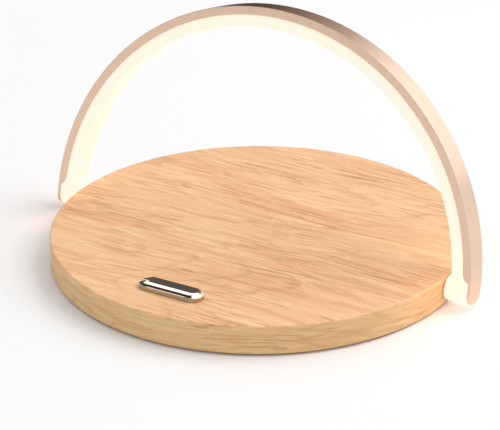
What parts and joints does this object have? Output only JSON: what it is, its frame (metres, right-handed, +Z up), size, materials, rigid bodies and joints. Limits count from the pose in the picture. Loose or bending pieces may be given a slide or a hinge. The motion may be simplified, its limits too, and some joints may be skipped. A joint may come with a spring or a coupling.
{
  "type": "wireless charging base with arch lamp",
  "caption": "Round wooden wireless charging base with a half-ring LED lamp that swings over it on a friction hinge and a metal touch bar at the front.",
  "frame": {"origin": "on the ground plane, under the centre of the round base", "axes": "+Z up; +X along the arch's hinge axis; -Y is the front, where the touch bar is, and +Y the rear with the USB-C inlet. The arch is stated in its rest pose, leaning back 10.7 degrees from upright."},
  "size_m": [0.1954, 0.172, 0.104],
  "materials": {
    "wood": "light oak or beech, oiled, satin, straight grain along X",
    "cover": "dark moulded plastic, fine grain",
    "foot_rubber": "matt silicone rubber",
    "screw_steel": "zinc plated",
    "hinge_steel": "turned and stamped steel",
    "bush_plastic": "natural nylon",
    "carrier_plastic": "white moulded plastic",
    "ferrite": "dark grey ferrite",
    "copper": "enamelled copper wire",
    "circuit_board": "green solder mask",
    "chip": "black moulding",
    "capacitor": "tan ceramic",
    "port_steel": "drawn stainless steel",
    "touch_metal": "polished pale gold plating",
    "lead_jacket": "white silicone jacket",
    "arch_metal": "fine blasted and anodised, champagne rose",
    "glow": "milky diffuser, lit from inside",
    "strip": "white flexible circuit with warm white light chips"
  },
  "bodies": {
    "base": {"wood_shell": "wood", "bottom_cover": "cover", "port_bezel": "cover", "foot_1": "foot_rubber", "foot_2": "foot_rubber", "foot_3": "foot_rubber", "foot_4": "foot_rubber", "cover_screw_1": "screw_steel", "cover_screw_2": "screw_steel", "cover_screw_3": "screw_steel", "cover_screw_4": "screw_steel", "board_screw_1": "screw_steel", "board_screw_2": "screw_steel", "board_screw_3": "screw_steel", "board_screw_4": "screw_steel", "touch_board_screw_1": "screw_steel", "touch_board_screw_2": "screw_steel", "hinge_screw_left_1": "screw_steel", "hinge_screw_left_2": "screw_steel", "hinge_screw_right_1": "screw_steel", "hinge_screw_right_2": "screw_steel", "hinge_plate_left": "hinge_steel", "hinge_plate_right": "hinge_steel", "touch_spring": "hinge_steel", "hinge_bush_left": "bush_plastic", "hinge_bush_right": "bush_plastic", "coil_carrier": "carrier_plastic", "lead_socket": "carrier_plastic", "ferrite_sheet": "ferrite", "filter_inductor": "ferrite", "charging_coil": "copper", "coil_lead": "copper", "main_board": "circuit_board", "touch_board": "circuit_board", "charge_controller": "chip", "power_stage": "chip", "led_driver": "chip", "touch_sensor": "chip", "usb_port_tongue": "chip", "resonant_capacitor_1": "capacitor", "resonant_capacitor_2": "capacitor", "resonant_capacitor_3": "capacitor", "usb_port_shell": "port_steel", "touch_bar": "touch_metal", "touch_lead": "lead_jacket", "led_lead": "lead_jacket"},
    "arch": {"arch_band": "arch_metal", "arch_diffuser": "glow", "led_strip": "strip", "hub_left": "glow", "hub_right": "glow", "hinge_shaft_left": "hinge_steel", "hinge_shaft_right": "hinge_steel", "friction_washer_left": "hinge_steel", "friction_washer_right": "hinge_steel", "shaft_nut_left": "hinge_steel", "shaft_nut_right": "hinge_steel", "arch_lead": "lead_jacket"}
  },
  "joints": [
    {"name": "arch_swing", "type": "hinge", "parent": "base", "child": "arch", "pos_m": [0, 0, 0.007], "axis": [1, 0, 0], "range_deg": [-79.3, 100.7]}
  ]
}
